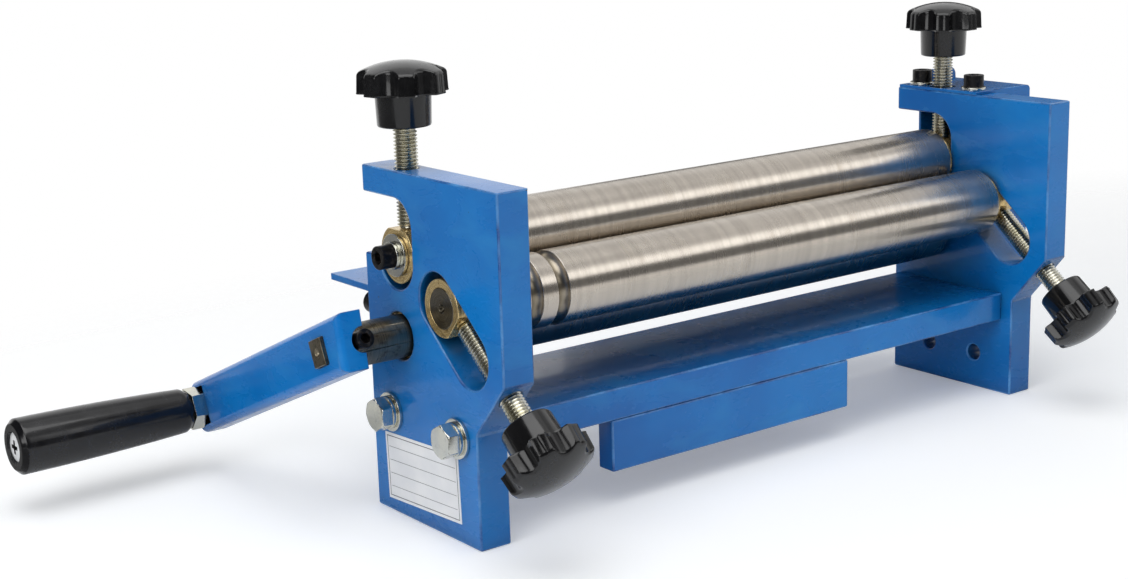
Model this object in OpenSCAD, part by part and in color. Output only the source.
// Bench slip roll: three steel rollers between two side plates. A crank turns the lower roller,
// gears turn the upper one, and star knobs set the upper and the front bending roller.
// X runs along the rollers, +Y to the rear, +Z up. The origin is on the bench, midway between
// the side plates and straight below the lower roller.

/* [Side plates] */
// Clear distance between the two side plates
plate_gap = 310; // [240:5:420]
// Thickness of a side plate
plate_t = 15; // [13:0.5:18]
// Distance from the lower roller's axis forward to the front edge
front_reach = 74.5; // [72:0.5:80]
// Distance from the lower roller's axis back to the rear edge
rear_reach = 23.5; // [22.5:0.5:28]
// How far the foot's front edge lies behind the front edge
front_step = 20; // [16:0.5:26]
// Thickness of the arm that the pressure screws pass through
arm_t = 11.5; // [9:0.5:13]
// Room in the rear notch between an upper bush's seat and the arm
notch_room = 11.5; // [8:0.5:20]
// Width of the slots that guide the bearing bushes
slot_w = 25; // [23:0.5:27]
// Slope of the bending slots below the level
slot_angle = 40.4; // [34:0.2:46]
// Distance between the end centres of a bending slot
slot_travel = 29.5; // [22:0.5:30]
// Wall between a bending slot and the sloped face that its screw enters
lug_t = 9.9; // [8:0.1:12]

/* [Rollers] */
// Diameter of the three rollers
roller_d = 32; // [30:0.5:33]
// Height of the lower roller's axis above the bench
axis_h = 80; // [76:0.5:96]
// Gap between the upper and the lower roller as set
nip_gap = 2.5; // [2:0.1:3]
// Gap between the bending roller and each of the other two as set
bend_gap = 4; // [3.5:0.1:5]
// Gap between a roller's end and the side plate
roller_end_gap = 1.8; // [1.6:0.1:3]
// Chamfer on a roller's end edges
roller_chamfer = 1.5; // [0.5:0.1:2.5]
// Diameter of the upper and bending rollers' journals
journal_d = 17; // [14:0.5:18]
// Diameter of the lower roller's journals
drive_journal_d = 16; // [14:0.5:17]
// Number of wire grooves in the bending roller
wire_grooves = 3; // [1:1:4]
// Radius of a wire groove
groove_r = 3; // [1.5:0.25:3.5]
// Distance between wire grooves
groove_pitch = 13.8; // [10:0.2:18]
// Distance from the roller's left end to the first wire groove
groove_start = 3.9; // [3:0.1:12]

/* [Bearings] */
// Distance from a bush's axis to the flat that its screw presses on
bush_flat = 10.5; // [9.6:0.1:11]
// Diameter of the collar on a bush's inner end
bush_collar_d = 29; // [28:0.5:30]
// How far a bush's outer face lies inside the plate's outer face
bush_inset = 0.8; // [0.4:0.1:2]
// Outer diameter of the lower roller's bearing rings
ring_d = 20.6; // [19.5:0.1:24]
// How far a bearing ring lies inside the plate's outer face
ring_recess = 3; // [2:0.5:5]

/* [Adjusting screws and knobs] */
// Diameter of the adjusting screws
screw_d = 10; // [8:0.5:11]
// Thread shown between a pressure knob and the plate's top
pressure_thread = 17.5; // [14:0.5:24]
// Thread shown between a bending knob and the sloped face
bending_thread = 12.5; // [8:0.5:20]
// Diameter of a star knob
knob_d = 38; // [34:0.5:46]
// Height of a star knob's lobed head without its dome
knob_head_h = 8.5; // [8:0.5:14]
// Height of the domed top
knob_dome_h = 4.8; // [3:0.2:7]
// Number of lobes on a star knob
knob_lobes = 7; // [5:1:9]
// Diameter of a star knob's neck
neck_d = 23.2; // [20:0.2:25]
// Height of a star knob's neck
neck_h = 13.5; // [9:0.5:18]
// Depth of the screw's seat in a knob
knob_seat = 16; // [10:0.5:18]

/* [Crossbar and vise block] */
// Front to rear size of the crossbar
bar_depth = 68; // [56:1:70]
// Thickness of the crossbar
bar_t = 14; // [12:0.5:16]
// Distance from the lower roller's axis down to the crossbar's underside
bar_drop = 41.8; // [38:0.2:46]
// Distance from the crossbar to the plates' rear edge
bar_rear_inset = 3.5; // [1:0.5:6]
// Length of the vise block
vise_len = 142; // [100:2:200]
// Thickness of the vise block
vise_t = 10; // [8:0.5:16]
// Height of the vise block
vise_h = 23; // [16:0.5:30]
// How far the vise block's middle lies left of the machine's middle
vise_shift = 25; // [0:1:50]
// Thread diameter of the crossbar's bolts
bolt_d = 8; // [6:0.5:9]
// Distance from the crossbar's front edge to the front bolt
bolt_front = 7; // [6:0.5:14]
// Distance from the crossbar's rear edge to the rear bolt
bolt_rear = 11; // [8:0.5:18]
// Diameter of the holes in the feet
foot_hole_d = 8; // [6:0.5:9]
// Distance between the holes in a foot
foot_hole_spacing = 30; // [24:1:40]
// Height of the holes in a foot
foot_hole_z = 18; // [12:0.5:22]

/* [Feed shelf] */
// How far the feed shelf reaches behind the side plates
shelf_reach = 31; // [20:1:60]
// Thickness of the feed shelf
shelf_t = 3; // [2:0.5:4]
// Depth of the flange that holds the feed shelf
shelf_flange = 32; // [26:1:44]
// How far the shelf's top lies above the lower roller's top
shelf_rise = 2; // [0.5:0.5:4]

/* [Gears and cover] */
// Number of teeth on each gear
gear_teeth = 12; // [11:1:13]
// Width of a gear
gear_w = 12.5; // [9:0.5:16]
// Height of a tooth above the pitch circle
gear_addendum = 2.9; // [2.6:0.1:3]
// Depth of a tooth below the pitch circle
gear_dedendum = 3.5; // [3.4:0.1:3.8]
// Play between teeth along the pitch circle at the closest setting
gear_backlash = 0.5; // [0.4:0.1:0.8]
// Thickness of the gear cover's sheet
cover_t = 1.5; // [1:0.25:2]
// Distance from the upper roller's axis forward to the cover's front
cover_front = 28.5; // [27:0.5:36]
// Height of the rear tab above the cover's top
tab_h = 5.5; // [0.5:0.5:9]
// Distance from the pressure screw forward to the front cover screw
cover_screw_front = 20.5; // [18:0.5:22]
// Distance from the pressure screw back to the rear cover screw
cover_screw_rear = 13.7; // [13:0.1:15]

/* [Crank] */
// Distance from the roller's axis to the handle's axis
crank_r = 126; // [90:1:160]
// Slope of the crank arm below the level
crank_angle = 23; // [0:1:30]
// Width of the crank arm
crank_w = 24; // [23:0.5:30]
// Depth of the crank arm's folded edges
crank_flange = 12; // [8:0.5:14]
// Thickness of the crank arm's sheet
crank_t = 2; // [1.5:0.25:2.5]
// Outer radius of the crank arm's folds
fold_r = 3.5; // [2.5:0.25:4]
// Distance from the roller's axis to the arm's folded end
crank_end = 17; // [15.5:0.5:20]
// Distance from the side plate to the arm's outer face
crank_stand_off = 38; // [34:0.5:50]
// Diameter of the crank hub
hub_d = 18.3; // [17:0.1:19]
// Width of the hub's tongue through the arm
tongue_w = 10; // [8:0.5:11]
// Height of the hub's tongue through the arm
tongue_h = 11.5; // [9:0.5:12]
// Length of the handle
grip_len = 82; // [60:1:120]
// Diameter of the handle's free end
grip_d = 25; // [22:0.5:32]
// Diameter of the handle's end at the arm
grip_neck_d = 20; // [18:0.5:21]
// Diameter of the pin inside the handle
pin_d = 10; // [8:0.5:10]
// Thickness of the nut between the arm and the handle
nut_t = 6; // [4:0.5:8]
// Width across flats of the handle's nuts
nut_w = 17; // [15:0.5:17]

/* [Hidden] */
$fn = 72;

// Clearances, the parting between touching washers and the overrun of every cut
overrun = 1;
running_clear = 0.05;
seat_clear = 0.3;
thread_clear = 0.06;

// Side plates and slots, each position as distance from the middle, or as y and z
inner_x = plate_gap / 2;
outer_x = inner_x + plate_t;
plate_x = inner_x + plate_t / 2;
slot_r = slot_w / 2;
roller_r = roller_d / 2;
axes_gap = roller_d + nip_gap;
upper_z = axis_h + axes_gap;
arm_z = upper_z + slot_r + notch_room;
plate_h = arm_z + arm_t;
upper_down = 1.9;
upper_up = 2.5;
bend_up = 2.6;
slot_floor_spare = 0.1;
slot_high_spare = 0.7;
slot_floor_z = upper_z - upper_down - slot_floor_spare;
bend_y = -sqrt(pow(roller_d + bend_gap, 2) - pow(axes_gap / 2, 2));
bend_z = axis_h + axes_gap / 2;
slot_up = bend_up + slot_high_spare;
slope = [-cos(slot_angle), -sin(slot_angle)];
slot_high = [bend_y, bend_z] - slot_up * slope;
slot_low = slot_high + slot_travel * slope;
lug_face = slot_travel - slot_up + slot_r + lug_t;
lug_point = [bend_y, bend_z] + lug_face * slope;
foot_y = front_step - front_reach;
lug_high_z = lug_point.y + (lug_point.x + front_reach) / tan(slot_angle);
lug_low_z = lug_point.y - (foot_y - lug_point.x) / tan(slot_angle);

// Rollers and bearings
body_x = inner_x - roller_end_gap;
journal_r = journal_d / 2;
drive_journal_r = drive_journal_d / 2;
bush_r = slot_r - seat_clear;
bush_in_x = body_x + seat_clear;
bush_out_x = outer_x - bush_inset;
collar_out_x = inner_x - seat_clear;
ring_out_x = outer_x - ring_recess;
centre_r = 1.9;
centre_depth = 3.3;
journal_end_x = bush_out_x;

// Fasteners: thread, head and washer sizes of the M6 and M8 screws
m6_d = 6;
m6_head_d = 10;
m6_head_h = 6;
m6_socket = 5;
m6_socket_depth = 3;
m6_length = 12;
m6_washer_d = 12.5;
m6_washer_t = 1.5;
wide_washer_d = 18;
wide_washer_t = 1.6;
spring_washer_d = 11.8;
spring_washer_t = 1.6;
washer_clear = 0.2;
washer_part = 0.02;
bolt_head_w = 13;
bolt_head_h = 5.3;
bolt_washer_d = 17;
bolt_washer_t = 1.6;
bolt_spring_d = 14.2;
bolt_spring_t = 2;
bolt_length = 38;
split_gap = 1.2;
bolt_hole_clear = 0.5;
bolt_crown_angle = 30;

// Gears on the right, each clamped between a shoulder and its end screw
shoulder_out = 1.5;
shoulder_x = outer_x + shoulder_out;
seat_d = 12;
gear_end_x = shoulder_x + gear_w;
end_stack = wide_washer_t + spring_washer_t;
gear_head_x = gear_end_x + end_stack + m6_head_h;
pitch_r = (axes_gap - upper_down) / 2;
gear_tip_r = pitch_r + gear_addendum;
gear_root_r = pitch_r - gear_dedendum;
pressure_angle = 18;
gear_base_r = pitch_r * cos(pressure_angle);
tooth_arc = PI * pitch_r / gear_teeth - gear_backlash;
flank_steps = 5;

// Gear cover
cover_end_gap = 1.8;
cover_side_gap = 1.8;
cover_drop = 4.8;
cover_fold_r = 2.5;
cover_relief_r = 1.2;
cover_side_x = gear_head_x + cover_end_gap + cover_t;
cover_rear_y = gear_tip_r + cover_side_gap + cover_t;
cover_low_z = axis_h - gear_tip_r - cover_drop;
cover_top_z = plate_h + cover_t;
screw_hole_clear = 1.5;
tab_corner = 4;

// Crossbar, its bolts and the vise block
bar_z = axis_h - bar_drop;
bar_y = rear_reach - bar_rear_inset - bar_depth;
bolt_y = [bar_y + bolt_front, bar_y + bar_depth - bolt_rear];
bolt_z = bar_z + bar_t / 2;
foot_hole_y = (foot_y + rear_reach) / 2;

// Feed shelf
shelf_z = axis_h + roller_r + shelf_rise - shelf_t;
shelf_side_inset = 3;
shelf_screw_high = 10;
shelf_screw_low = 24;

// Adjusting screws and knobs, measured along the screw from the bush's axis
screw_r = screw_d / 2;
screw_hole_r = screw_r + thread_clear;
screw_tip = bush_flat + seat_clear;
screw_chamfer = 1.2;
pressure_start = plate_h - upper_z + pressure_thread;
bending_start = lug_face + bending_thread;
knob_r = knob_d / 2;
scallop_r_share = 0.3;
scallop_place_share = 1.12;
neck_taper = 0.4;
cap_r = (pow(knob_r, 2) + pow(knob_dome_h, 2)) / (2 * knob_dome_h);
left_pressure_turn = 140;
right_pressure_turn = -37;
left_bending_turn = 20;
right_bending_turn = 60;

// Crank and handle: the arm's own axes run along it and across it
crank_out_x = -outer_x - crank_stand_off;
crank_in_x = crank_out_x + crank_t;
crank_free_x = crank_out_x + crank_flange;
hub_entry = 2.2;
hub_in_x = -outer_x + hub_entry;
stub_d = 12;
hub_floor = 3.5;
stub_end_x = crank_in_x + hub_floor;
tongue_proud = 1.5;
tongue_clear = 0.1;
crank_skew = 11;
crank_tip = 3.5;
tongue_end_r = 8;
clamp_d = 8;
clamp_socket = 4;
clamp_socket_depth = 4;
clamp_inset = 0.5;
clamp_face = 19;
clamp_x = crank_free_x - clamp_inset;
notch_r = 5.2;
pin_r = pin_d / 2;
lock_nut_t = 5;
grip_in_x = crank_out_x - nut_t - seat_clear;
grip_out_x = grip_in_x - grip_len;
grip_r = grip_d / 2;
grip_neck_r = grip_neck_d / 2;
grip_chamfer = 2.2;
grip_round = 3;
grip_steps = 10;
end_head_d = 13.4;
end_head_h = 3.6;
end_head_gap = 0.6;
end_screw_d = 6;
end_screw_length = 16;
pin_out_x = grip_out_x + end_head_gap + end_head_h;

// Points of an arc about a centre, from one angle to another
function arc(c, r, a, b, n = 6) = [for (i = [0:n]) let (t = a + (b - a) * i / n) c + r * [cos(t), sin(t)]];

// Outline drawn as y and z, extruded along X
module along_x(x, length) translate([x, 0, 0]) rotate([90, 0, 90]) linear_extrude(length) children();

// Round bar along X between two places, on the axis at y and z
module rod_x(x0, x1, r, y = 0, z = 0) translate([min(x0, x1), y, z]) rotate([0, 90, 0])
    cylinder(r = r, h = abs(x1 - x0));

// Profile of radius and x, turned about the axis at y and z
module turned_x(points, y = 0, z = 0) translate([0, y, z]) rotate([0, 90, 0]) rotate_extrude()
    polygon(points);

// The left or the right one of a mirrored pair
module on_side(side) mirror([side < 0 ? 1 : 0, 0, 0]) children();

// Frames of the adjusting screws, with their bush's axis at the origin and the screw along Z
module at_pressure(side) translate([side * plate_x, 0, upper_z]) children();
module at_bending(side) translate([side * plate_x, bend_y, bend_z]) rotate([90 + slot_angle, 0, 0])
    children();

// Frame of the crank arm: X stays, Y runs along the arm to the handle and Z across it
module at_crank() translate([0, 0, axis_h]) rotate([-crank_angle, 0, 0]) children();

// Drilling for a lathe centre, in a face that looks along +X at the origin
module centre_drilling() translate([-centre_depth, 0, 0]) rotate([0, 90, 0])
    cylinder(r1 = 0, r2 = 2 * centre_r, h = 2 * centre_depth);

module ring(r_in, r_out, t) difference() {
    cylinder(r = r_out, h = t);
    translate([0, 0, -overrun]) cylinder(r = r_in, h = t + 2 * overrun);
}

module spring_washer(r_in, r_out, t) difference() {
    ring(r_in, r_out, t);
    translate([0, -split_gap / 2, -overrun]) cube([r_out + overrun, split_gap, t + 2 * overrun]);
}

// Socket head cap screw, its head standing on the plane at zero and its shank below
module cap_screw(length) difference() {
    union() {
        cylinder(d = m6_head_d, h = m6_head_h);
        translate([0, 0, -length]) cylinder(d = m6_d, h = length);
    }
    translate([0, 0, m6_head_h - m6_socket_depth])
        hex_prism(m6_socket, m6_socket_depth + overrun);
}

module hex_prism(across_flats, h) cylinder(d = across_flats / cos(30), h = h, $fn = 6);

// Hexagon bolt with the usual chamfered crown
module hex_bolt(length) union() {
    intersection() {
        hex_prism(bolt_head_w, bolt_head_h);
        cylinder(r1 = bolt_head_w / 2 + bolt_head_h / tan(bolt_crown_angle), r2 = bolt_head_w / 2,
            h = bolt_head_h);
    }
    translate([0, 0, -length]) cylinder(d = bolt_d, h = length);
}

module slot_outline() union() {
    translate(slot_high) circle(r = slot_r);
    translate(slot_low) circle(r = slot_r);
    translate(slot_low) rotate(slot_angle) translate([0, -slot_r]) square([slot_travel, slot_w]);
}

module notch_outline() union() {
    translate([0, slot_floor_z]) circle(r = slot_r);
    translate([0, arm_z - slot_r]) circle(r = slot_r);
    translate([-slot_r, slot_floor_z]) square([slot_w, arm_z - slot_r - slot_floor_z]);
    translate([0, slot_floor_z]) square([rear_reach + overrun, arm_z - slot_floor_z]);
}

module plate_outline() difference() {
    polygon([[-front_reach, plate_h], [rear_reach, plate_h], [rear_reach, 0], [foot_y, 0],
        [foot_y, lug_low_z], [-front_reach, lug_high_z]]);
    notch_outline();
    slot_outline();
    translate([0, axis_h]) circle(d = ring_d);
    for (y = bolt_y) translate([y, bolt_z]) circle(d = bolt_d + bolt_hole_clear);
    for (s = [-1, 1]) translate([foot_hole_y + s * foot_hole_spacing / 2, foot_hole_z])
        circle(d = foot_hole_d);
}

module shelf_screw_places() for (z = [shelf_screw_high, shelf_screw_low])
    translate([plate_x, rear_reach, shelf_z + shelf_t - z]) rotate([-90, 0, 0]) children();

module cover_screw_places() for (y = [-cover_screw_front, cover_screw_rear])
    translate([plate_x, y, plate_h]) children();

module side_plate(side, has_cover) color("royalblue") on_side(side) difference() {
    along_x(inner_x, plate_t) plate_outline();
    translate([plate_x, 0, arm_z - overrun]) cylinder(r = screw_hole_r, h = arm_t + 2 * overrun);
    at_bending(1) translate([0, 0, lug_face - lug_t - slot_r])
        cylinder(r = screw_hole_r, h = slot_r + lug_t + overrun);
    shelf_screw_places() translate([0, 0, -m6_length]) cylinder(d = m6_d, h = m6_length + overrun);
    if (has_cover) cover_screw_places() translate([0, 0, -m6_length])
        cylinder(d = m6_d, h = m6_length + overrun);
}

module left_side_plate() side_plate(-1, false);
module right_side_plate() side_plate(1, true);

module crossbar() color("royalblue") difference() {
    translate([-inner_x, bar_y, bar_z]) cube([plate_gap, bar_depth, bar_t]);
    for (side = [-1, 1], y = bolt_y) on_side(side)
        rod_x(inner_x - bolt_length, inner_x + overrun, bolt_d / 2, y, bolt_z);
}

module vise_block() color("royalblue")
    translate([-vise_shift - vise_len / 2, bar_y, bar_z - vise_h]) cube([vise_len, vise_t, vise_h]);

module bolt_places(side) for (y = bolt_y) on_side(side)
    translate([outer_x, y, bolt_z]) rotate([0, 90, 0]) children();

module crossbar_bolts(side) color("silver") bolt_places(side)
    translate([0, 0, bolt_washer_t + bolt_spring_t]) hex_bolt(bolt_length);

module crossbar_washers(side) color("gainsboro") bolt_places(side) {
    ring(bolt_d / 2 + washer_clear, bolt_washer_d / 2, bolt_washer_t);
    translate([0, 0, bolt_washer_t + washer_part])
        spring_washer(bolt_d / 2 + washer_clear, bolt_spring_d / 2, bolt_spring_t - washer_part);
}

module left_crossbar_bolts() crossbar_bolts(-1);
module right_crossbar_bolts() crossbar_bolts(1);
module left_crossbar_washers() crossbar_washers(-1);
module right_crossbar_washers() crossbar_washers(1);

module feed_shelf() color("royalblue") difference() {
    union() {
        translate([-outer_x, rear_reach, shelf_z]) cube([2 * outer_x, shelf_reach, shelf_t]);
        translate([shelf_side_inset - outer_x, rear_reach, shelf_z + shelf_t - shelf_flange])
            cube([2 * (outer_x - shelf_side_inset), shelf_t, shelf_flange - shelf_t / 2]);
    }
    for (side = [-1, 1]) on_side(side) shelf_screw_places()
        translate([0, 0, -overrun]) cylinder(d = m6_d + 2 * washer_clear, h = shelf_t + 2 * overrun);
}

module feed_shelf_screws() color("dimgray") for (side = [-1, 1]) on_side(side) shelf_screw_places()
    translate([0, 0, shelf_t]) cap_screw(m6_length);

// Rear wall of the cover, with its rounded tab above the top
module cover_rear_outline() polygon(concat(
    [[outer_x, cover_low_z], [cover_side_x, cover_low_z]],
    arc([cover_side_x - tab_corner, cover_top_z + tab_h - tab_corner], tab_corner, 0, 90),
    arc([outer_x + tab_corner, cover_top_z + tab_h - tab_corner], tab_corner, 90, 180)));

// Block of the cover's outer or inner faces, rounded at the fold between top and side
module cover_block(inset) {
    r = cover_fold_r - inset;
    past = inset > 0 ? overrun : 0;
    wide = cover_side_x - inset - outer_x + past;
    tall = cover_top_z - inset - cover_low_z + past;
    translate([outer_x - past, cover_rear_y - inset, cover_low_z - past]) rotate([90, 0, 0])
        linear_extrude(cover_front + cover_rear_y - 2 * inset) union() {
            square([wide - r, tall]);
            square([wide, tall - r]);
            translate([wide - r, tall - r]) circle(r = r);
        }
}

module gear_cover() color("royalblue") difference() {
    union() {
        difference() {
            cover_block(0);
            cover_block(cover_t);
        }
        translate([inner_x, -cover_front, plate_h])
            cube([plate_t + cover_t, cover_front + cover_rear_y, cover_t]);
        translate([0, cover_rear_y, 0]) rotate([90, 0, 0]) linear_extrude(cover_t) cover_rear_outline();
    }
    translate([plate_x, 0, plate_h - overrun])
        cylinder(r = screw_r + screw_hole_clear, h = cover_t + 2 * overrun);
    translate([outer_x + cover_relief_r, cover_relief_r - cover_front, plate_h - overrun])
        cylinder(r = cover_relief_r, h = cover_t + 2 * overrun);
    cover_screw_places() translate([0, 0, -overrun])
        cylinder(d = m6_d + 2 * washer_clear, h = cover_t + 2 * overrun);
}

module gear_cover_washers() color("dimgray") cover_screw_places()
    translate([0, 0, cover_t]) ring(m6_d / 2 + washer_clear, m6_washer_d / 2, m6_washer_t);

module gear_cover_screws() color("dimgray") cover_screw_places()
    translate([0, 0, cover_t + m6_washer_t]) cap_screw(m6_length);

module bearing_ring(side) color("goldenrod") on_side(side) difference() {
    rod_x(inner_x, ring_out_x, ring_d / 2, 0, axis_h);
    rod_x(inner_x - overrun, ring_out_x + overrun, drive_journal_r + running_clear, 0, axis_h);
}

module left_bearing_ring() bearing_ring(-1);
module right_bearing_ring() bearing_ring(1);

// Chamfered outline of a roller's body as radius and x
function body_points() = [[roller_r - roller_chamfer, -body_x], [roller_r, roller_chamfer - body_x],
    [roller_r, body_x - roller_chamfer], [roller_r - roller_chamfer, body_x]];

// Journal on the right that ends in a gear's seat
function gear_side(r) = [[r, body_x], [r, shoulder_x], [seat_d / 2, shoulder_x],
    [seat_d / 2, gear_end_x], [0, gear_end_x]];

module end_bore(x, z) on_side(sign(x)) rod_x(abs(x) - m6_length, abs(x) + overrun, m6_d / 2, 0, z);

module lower_roller() color("silver") difference() {
    turned_x(concat(
        [[0, stub_end_x], [stub_d / 2, stub_end_x], [stub_d / 2, hub_in_x], [drive_journal_r, hub_in_x],
            [drive_journal_r, -body_x]],
        body_points(), gear_side(drive_journal_r)), 0, axis_h);
    end_bore(gear_end_x, axis_h);
}

module upper_roller() color("silver") difference() {
    turned_x(concat(
        [[0, -journal_end_x - seat_clear], [journal_r, -journal_end_x - seat_clear], [journal_r, -body_x]],
        body_points(), gear_side(journal_r)), 0, upper_z);
    end_bore(gear_end_x, upper_z);
    end_bore(-journal_end_x - seat_clear, upper_z);
}

module bending_roller() color("silver") difference() {
    turned_x(concat([[0, -journal_end_x], [journal_r, -journal_end_x], [journal_r, -body_x]], body_points(),
        [[journal_r, body_x], [journal_r, journal_end_x], [0, journal_end_x]]), bend_y, bend_z);
    for (i = [0:wire_grooves - 1])
        translate([groove_start + groove_r + i * groove_pitch - body_x, bend_y, bend_z]) rotate([0, 90, 0])
            rotate_extrude() translate([roller_r, 0]) circle(r = groove_r);
    for (side = [-1, 1]) on_side(side) translate([journal_end_x, bend_y, bend_z]) centre_drilling();
}

// Half angle that a tooth fills at a radius: it follows the involute of the base circle
function involute(a) = tan(a) - a * PI / 180;
function tooth_half(r) = (tooth_arc / 2 / pitch_r + involute(pressure_angle)
    - involute(acos(min(1, gear_base_r / r)))) * 180 / PI;
function flank_r(i) = gear_root_r + (gear_tip_r - gear_root_r) * i / flank_steps;
function polar(r, a) = r * [cos(a), sin(a)];

module gear_outline() polygon([for (k = [0:gear_teeth - 1]) let (mid = k * 360 / gear_teeth) each concat(
    [for (i = [0:flank_steps]) polar(flank_r(i), mid - tooth_half(flank_r(i)))],
    [for (i = [flank_steps:-1:0]) polar(flank_r(i), mid + tooth_half(flank_r(i)))])]);

module roll_gear(z, turn) color("slategray") difference() {
    along_x(shoulder_x, gear_w) translate([0, z]) rotate(turn) gear_outline();
    rod_x(shoulder_x - overrun, gear_end_x + overrun, seat_d / 2, 0, z);
}

module lower_gear() roll_gear(axis_h, 90);
module upper_gear() roll_gear(upper_z, 90 + 180 / gear_teeth);

module end_screw(x, z) on_side(sign(x)) translate([abs(x) + end_stack, 0, z]) rotate([0, 90, 0])
    cap_screw(m6_length + end_stack);

module end_washers(x, z) on_side(sign(x)) translate([abs(x), 0, z]) rotate([0, 90, 0]) {
    ring(m6_d / 2 + washer_clear, wide_washer_d / 2, wide_washer_t);
    translate([0, 0, wide_washer_t + washer_part])
        spring_washer(m6_d / 2 + washer_clear, spring_washer_d / 2, spring_washer_t - washer_part);
}

module lower_gear_screw() color("dimgray") end_screw(gear_end_x, axis_h);
module lower_gear_washers() color("gainsboro") end_washers(gear_end_x, axis_h);

module upper_end_screws() color("dimgray") {
    end_screw(gear_end_x, upper_z);
    end_screw(-journal_end_x - seat_clear, upper_z);
}

module upper_end_washers() color("gainsboro") {
    end_washers(gear_end_x, upper_z);
    end_washers(-journal_end_x - seat_clear, upper_z);
}

// Collared bush along X about the origin, with the flat for its screw on the side of +Z
module bush() difference() {
    union() {
        rod_x(bush_in_x, bush_out_x, bush_r);
        rod_x(bush_in_x, collar_out_x, bush_collar_d / 2);
    }
    rod_x(bush_in_x - overrun, bush_out_x + overrun, journal_r + running_clear);
    translate([collar_out_x, -bush_r, bush_flat]) cube([plate_t + seat_clear, 2 * bush_r, bush_r]);
}

module upper_bush(side) color("goldenrod") on_side(side) translate([0, 0, upper_z]) bush();
module bending_bush(side) color("goldenrod") on_side(side)
    translate([0, bend_y, bend_z]) rotate([90 + slot_angle, 0, 0]) bush();

module left_upper_bush() upper_bush(-1);
module right_upper_bush() upper_bush(1);
module left_bending_bush() bending_bush(-1);
module right_bending_bush() bending_bush(1);

// Adjusting screw along Z, from its tip on the bush to its seat in the knob
module adjusting_screw(knob_start) color("khaki") rotate_extrude() polygon([[0, screw_tip],
    [screw_r - screw_chamfer, screw_tip], [screw_r, screw_tip + screw_chamfer],
    [screw_r, knob_start + knob_seat], [0, knob_start + knob_seat]]);

module knob_outline() difference() {
    circle(r = knob_r);
    for (i = [0:knob_lobes - 1]) rotate((i + 0.5) * 360 / knob_lobes)
        translate([knob_r * scallop_place_share, 0]) circle(r = knob_r * scallop_r_share);
}

module star_knob(start, turn) color("black") translate([0, 0, start]) rotate(turn) difference() {
    union() {
        cylinder(d1 = neck_d - 2 * neck_taper, d2 = neck_d, h = neck_h);
        intersection() {
            translate([0, 0, neck_h]) linear_extrude(knob_head_h + knob_dome_h) knob_outline();
            translate([0, 0, neck_h + knob_head_h + knob_dome_h - cap_r]) sphere(r = cap_r);
        }
    }
    translate([0, 0, -overrun]) cylinder(r = screw_r, h = knob_seat + overrun);
}

module left_pressure_screw() at_pressure(-1) adjusting_screw(pressure_start);
module right_pressure_screw() at_pressure(1) adjusting_screw(pressure_start);
module left_bending_screw() at_bending(-1) adjusting_screw(bending_start);
module right_bending_screw() at_bending(1) adjusting_screw(bending_start);
module left_pressure_knob() at_pressure(-1) star_knob(pressure_start, left_pressure_turn);
module right_pressure_knob() at_pressure(1) star_knob(pressure_start, right_pressure_turn);
module left_bending_knob() at_bending(-1) star_knob(bending_start, left_bending_turn);
module right_bending_knob() at_bending(1) star_knob(bending_start, right_bending_turn);

// Hub that slips on the lower roller's stub and carries the arm on its tongue
module crank_hub() color("gray") at_crank() difference() {
    union() {
        rod_x(crank_in_x, hub_in_x, hub_d / 2);
        translate([crank_out_x - tongue_proud, -tongue_w / 2, -tongue_h / 2])
            cube([crank_t + tongue_proud, tongue_w, tongue_h]);
    }
    rod_x(stub_end_x, hub_in_x + overrun, stub_d / 2);
    translate([clamp_x, 0, 0]) rotate([90, 0, 0]) cylinder(d = clamp_d, h = hub_d);
    translate([crank_out_x - tongue_proud, 0, 0]) mirror([1, 0, 0]) centre_drilling();
}

// Long socket set screw that holds the hub on the stub and stands out through the arm's notch
module hub_clamp_screw() color("dimgray") at_crank() translate([clamp_x, 0, 0]) rotate([90, 0, 0])
    difference() {
        translate([0, 0, stub_d / 2]) cylinder(d = clamp_d, h = clamp_face - stub_d / 2);
        translate([0, 0, clamp_face - clamp_socket_depth])
            hex_prism(clamp_socket, clamp_socket_depth + overrun);
    }

// Section across the arm as X and Z, rounded at the folds and inset where asked
module channel_section(inset) {
    r = fold_r - inset;
    out = crank_out_x + inset;
    depth = crank_free_x + (inset > 0 ? overrun : 0) - out;
    half = crank_w / 2 - inset;
    translate([out + r, -half]) square([depth - r, 2 * half]);
    translate([out, r - half]) square([depth, 2 * (half - r)]);
    for (s = [-1, 1]) translate([out + r, s * (half - r)]) circle(r = r);
}

// Section through the arm's folded end as X and Y
module end_section(inset) {
    r = fold_r - inset;
    out = crank_out_x + inset;
    depth = crank_free_x + (inset > 0 ? overrun : 0) - out;
    low = inset - crank_end * cos(crank_skew);
    reach = crank_r + 2 * crank_w;
    translate([out + r, low]) square([depth - r, reach]);
    translate([out, low + r]) square([depth, reach - r]);
    translate([out + r, low + r]) circle(r = r);
}

// The arm's block up to its tip, as large as the sheet's outer or inner faces
module arm_block(inset, tip) intersection() {
    translate([0, tip, 0]) rotate([90, 0, 0]) linear_extrude(tip + 2 * crank_end) channel_section(inset);
    rotate([crank_skew, 0, 0]) translate([0, 0, -crank_r]) linear_extrude(2 * crank_r) end_section(inset);
}

// The web's end is a round tongue about the handle's pin, freed from the folds by relief cuts
module tip_relief_outline() difference() {
    translate([crank_r - tongue_end_r, fold_r - crank_w / 2])
        square([tongue_end_r + crank_tip + overrun, crank_w - 2 * fold_r]);
    translate([crank_r, 0]) circle(r = tongue_end_r);
    translate([crank_r - tongue_end_r - overrun, -tongue_end_r])
        square([tongue_end_r + overrun, 2 * tongue_end_r]);
}

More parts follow.
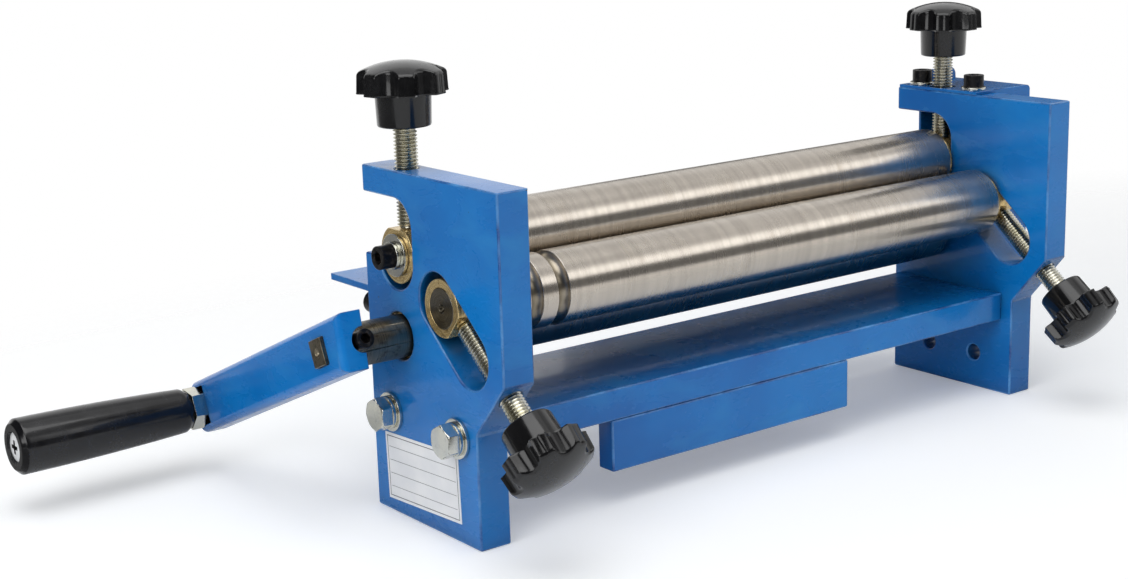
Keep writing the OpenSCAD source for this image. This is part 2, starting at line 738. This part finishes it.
module crank_arm() color("royalblue") at_crank() difference() {
    arm_block(0, crank_r + crank_tip);
    arm_block(crank_t, crank_r + crank_tip + overrun);
    along_x(crank_out_x - overrun, crank_t + 2 * overrun) tip_relief_outline();
    translate([crank_out_x - overrun, -tongue_w / 2 - tongue_clear, -tongue_h / 2 - tongue_clear])
        cube([crank_t + 2 * overrun, tongue_w + 2 * tongue_clear, tongue_h + 2 * tongue_clear]);
    rod_x(crank_out_x - overrun, crank_in_x + overrun, pin_r, crank_r, 0);
    translate([clamp_x, 0, 0]) rotate([90, 0, 0]) cylinder(r = notch_r, h = 2 * crank_end);
    translate([clamp_x, -2 * crank_end, -notch_r]) cube([crank_flange, 2 * crank_end - hub_d / 2, 2 * notch_r]);
}

module handle_nut(x, t) difference() {
    translate([x, crank_r, 0]) rotate([0, 90, 0]) hex_prism(nut_w, t);
    rod_x(x - overrun, x + t + overrun, pin_r, crank_r, 0);
}

module handle_nuts() color("silver") at_crank() {
    handle_nut(crank_out_x - nut_t, nut_t);
    handle_nut(crank_in_x, lock_nut_t);
}

module handle_pin() color("silver") at_crank() difference() {
    rod_x(pin_out_x, crank_in_x + lock_nut_t + crank_t / 2, pin_r, crank_r, 0);
    rod_x(pin_out_x - overrun, pin_out_x + end_screw_length, end_screw_d / 2, crank_r, 0);
}

// Radius of the handle at a share of its length from the free end, and the points along it
function grip_at(share) = grip_r - (grip_r - grip_neck_r) * share * share;
function grip_x(i) = grip_out_x + grip_chamfer + (grip_len - grip_chamfer - grip_round) * i / grip_steps;

module handle_grip() color("black") at_crank() difference() {
    turned_x(concat([[0, grip_out_x], [grip_r - grip_chamfer, grip_out_x]],
        [for (i = [0:grip_steps]) [grip_at((grip_x(i) - grip_out_x) / grip_len), grip_x(i)]],
        [[grip_neck_r - grip_round / 2, grip_in_x], [0, grip_in_x]]), crank_r, 0);
    rod_x(grip_out_x - overrun, grip_in_x + overrun, pin_r + running_clear, crank_r, 0);
    translate([grip_out_x, crank_r, 0]) rotate([0, 90, 0]) translate([0, 0, -overrun])
        cylinder(d = end_head_d + 2 * seat_clear, h = end_head_h + end_head_gap + overrun + seat_clear);
}

module handle_end_screw() color("white") at_crank() translate([pin_out_x, crank_r, 0])
    rotate([0, -90, 0]) {
        cylinder(d1 = end_screw_d + end_head_h, d2 = end_head_d, h = end_head_h);
        translate([0, 0, -end_screw_length]) cylinder(d = end_screw_d, h = end_screw_length);
    }

left_side_plate();
right_side_plate();
crossbar();
vise_block();
left_crossbar_bolts();
right_crossbar_bolts();
left_crossbar_washers();
right_crossbar_washers();
feed_shelf();
feed_shelf_screws();
gear_cover();
gear_cover_screws();
gear_cover_washers();
left_bearing_ring();
right_bearing_ring();
lower_roller();
lower_gear();
lower_gear_screw();
lower_gear_washers();
upper_roller();
upper_gear();
upper_end_screws();
upper_end_washers();
left_upper_bush();
right_upper_bush();
bending_roller();
left_bending_bush();
right_bending_bush();
left_pressure_screw();
right_pressure_screw();
left_pressure_knob();
right_pressure_knob();
left_bending_screw();
right_bending_screw();
left_bending_knob();
right_bending_knob();
crank_hub();
hub_clamp_screw();
crank_arm();
handle_pin();
handle_nuts();
handle_grip();
handle_end_screw();
